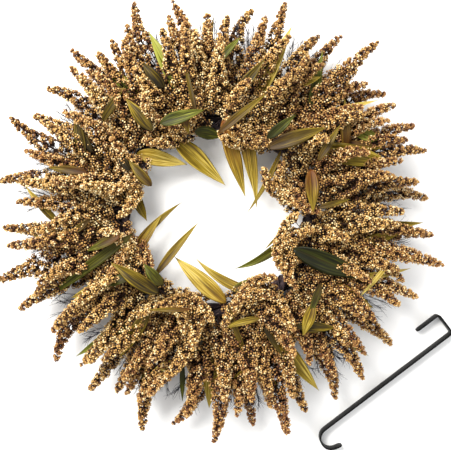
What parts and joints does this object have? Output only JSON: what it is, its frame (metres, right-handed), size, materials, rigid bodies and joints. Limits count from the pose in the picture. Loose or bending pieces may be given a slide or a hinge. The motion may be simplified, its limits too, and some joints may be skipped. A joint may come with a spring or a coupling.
{
  "type": "harvest door wreath",
  "caption": "Round harvest wreath of golden beaded grain sprays and olive leaves on a twisted vine ring, with a black steel over-door hanger beside it.",
  "frame": {"origin": "under the middle of the whole set in plan, on the surface that the wreath and the hanger lie on", "axes": "+Z out of the wreath's decorated front (up, as it lies on its back), +Y towards its top when it hangs on a door, +X to its right seen from the front"},
  "size_m": [0.7536, 0.7398, 0.1413],
  "materials": {
    "vine": "matte",
    "binding_wire": "satin",
    "grain": "matte",
    "leaf": "matte",
    "powder_coat": "satin"
  },
  "bodies": {
    "ring": {"binding_wire_1": "binding_wire", "binding_wire_2": "binding_wire", "binding_wire_3": "binding_wire", "binding_wire_4": "binding_wire", "binding_wire_5": "binding_wire", "binding_wire_6": "binding_wire", "binding_wire_7": "binding_wire", "binding_wire_8": "binding_wire", "vine_strand_1": "vine", "vine_strand_2": "vine", "vine_strand_3": "vine"},
    "bunch_1": {"leaf_1": "leaf", "spray_inner_1": "grain", "spray_middle_1": "grain", "spray_outer_01": "grain", "spray_outer_02": "grain", "spray_outer_03": "grain"},
    "bunch_2": {"leaf_2": "leaf", "spray_inner_2": "grain", "spray_middle_2": "grain", "spray_outer_04": "grain", "spray_outer_05": "grain", "spray_outer_06": "grain"},
    "bunch_3": {"leaf_3": "leaf", "spray_inner_3": "grain", "spray_middle_3": "grain", "spray_outer_07": "grain", "spray_outer_08": "grain", "spray_outer_09": "grain"},
    "bunch_4": {"leaf_4": "leaf", "spray_inner_4": "grain", "spray_middle_4": "grain", "spray_outer_10": "grain", "spray_outer_11": "grain", "spray_outer_12": "grain"},
    "bunch_5": {"leaf_5": "leaf", "spray_inner_5": "grain", "spray_middle_5": "grain", "spray_outer_13": "grain", "spray_outer_14": "grain", "spray_outer_15": "grain"},
    "bunch_6": {"leaf_6": "leaf", "spray_inner_6": "grain", "spray_middle_6": "grain", "spray_outer_16": "grain", "spray_outer_17": "grain", "spray_outer_18": "grain"},
    "bunch_7": {"leaf_7": "leaf", "spray_inner_7": "grain", "spray_middle_7": "grain", "spray_outer_19": "grain", "spray_outer_20": "grain", "spray_outer_21": "grain"},
    "bunch_8": {"leaf_8": "leaf", "spray_inner_8": "grain", "spray_middle_8": "grain", "spray_outer_22": "grain", "spray_outer_23": "grain", "spray_outer_24": "grain"},
    "hanger": {"door_hanger": "powder_coat"}
  },
  "joints": [
    {"name": "bunch_1_bend", "type": "hinge", "parent": "ring", "child": "bunch_1", "pos_m": [0.12503, 0.08658, 0.01692], "axis": [0.3827, -0.9239, 0], "range_deg": [-5, 15]},
    {"name": "bunch_2_bend", "type": "hinge", "parent": "ring", "child": "bunch_2", "pos_m": [0.03844, 0.17317, 0.01692], "axis": [0.9239, -0.3827, 0], "range_deg": [-5, 15]},
    {"name": "bunch_3_bend", "type": "hinge", "parent": "ring", "child": "bunch_3", "pos_m": [-0.08402, 0.17317, 0.01692], "axis": [0.9239, 0.3827, 0], "range_deg": [-5, 15]},
    {"name": "bunch_4_bend", "type": "hinge", "parent": "ring", "child": "bunch_4", "pos_m": [-0.17061, 0.08658, 0.01692], "axis": [0.3827, 0.9239, 0], "range_deg": [-5, 15]},
    {"name": "bunch_5_bend", "type": "hinge", "parent": "ring", "child": "bunch_5", "pos_m": [-0.17061, -0.03588, 0.01692], "axis": [-0.3827, 0.9239, 0], "range_deg": [-5, 15]},
    {"name": "bunch_6_bend", "type": "hinge", "parent": "ring", "child": "bunch_6", "pos_m": [-0.08402, -0.12247, 0.01692], "axis": [-0.9239, 0.3827, 0], "range_deg": [-5, 15]},
    {"name": "bunch_7_bend", "type": "hinge", "parent": "ring", "child": "bunch_7", "pos_m": [0.03844, -0.12247, 0.01692], "axis": [-0.9239, -0.3827, 0], "range_deg": [-5, 15]},
    {"name": "bunch_8_bend", "type": "hinge", "parent": "ring", "child": "bunch_8", "pos_m": [0.12503, -0.03588, 0.01692], "axis": [-0.3827, -0.9239, 0], "range_deg": [-5, 15]},
    {"name": "hanger_lift", "type": "slide", "parent": "ring", "child": "hanger", "axis": [0, 0, 1], "range_m": [0, 0.15]}
  ]
}
